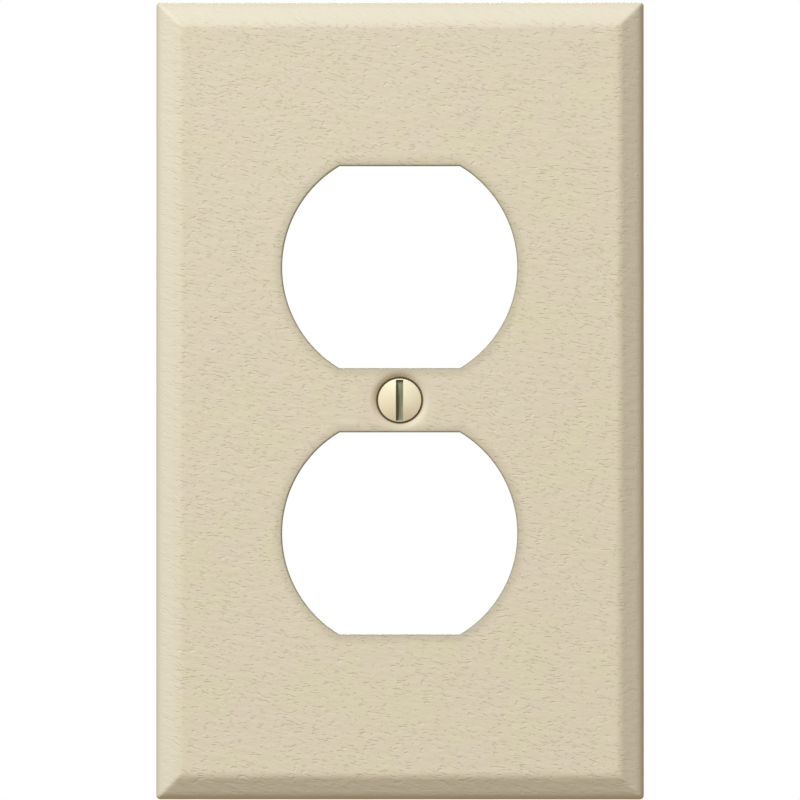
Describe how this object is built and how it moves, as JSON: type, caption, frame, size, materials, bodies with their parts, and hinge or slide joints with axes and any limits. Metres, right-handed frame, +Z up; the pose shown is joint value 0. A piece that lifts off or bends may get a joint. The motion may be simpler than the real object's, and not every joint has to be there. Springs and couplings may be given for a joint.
{
  "type": "duplex wall plate cover",
  "caption": "Single-gang pressed steel wall plate for a duplex receptacle, bevelled rim, two round openings with flats, captive centre screw.",
  "frame": {"origin": "on the mounting screw's axis, at the plate's centre, in the plane of the wall that the plate's rim rests on", "axes": "+Z up along the plate's long side, +Y into the wall, +X to the right seen from the room; the face looks along -Y"},
  "size_m": [0.0698, 0.0135, 0.1142],
  "materials": {
    "ivory_enamel": "ivory wrinkle-textured baked enamel on zinc-plated sheet steel, semi-gloss",
    "screw_steel": "smooth ivory enamel on the head, bright zinc on the slot, neck and thread",
    "fibre": "punched vulcanised fibre, matt brick red"
  },
  "bodies": {
    "plate": {"face_plate": "ivory_enamel"},
    "washer": {"retaining_washer": "fibre"},
    "screw": {"mounting_screw": "screw_steel"}
  },
  "joints": [
    {"name": "screw_draw", "type": "slide", "parent": "plate", "child": "washer", "axis": [0, -1, 0], "range_m": [0, 0.00126]},
    {"name": "screw_turn", "type": "hinge", "parent": "washer", "child": "screw", "pos_m": [0, 0, 0], "axis": [0, -1, 0], "continuous": true}
  ]
}
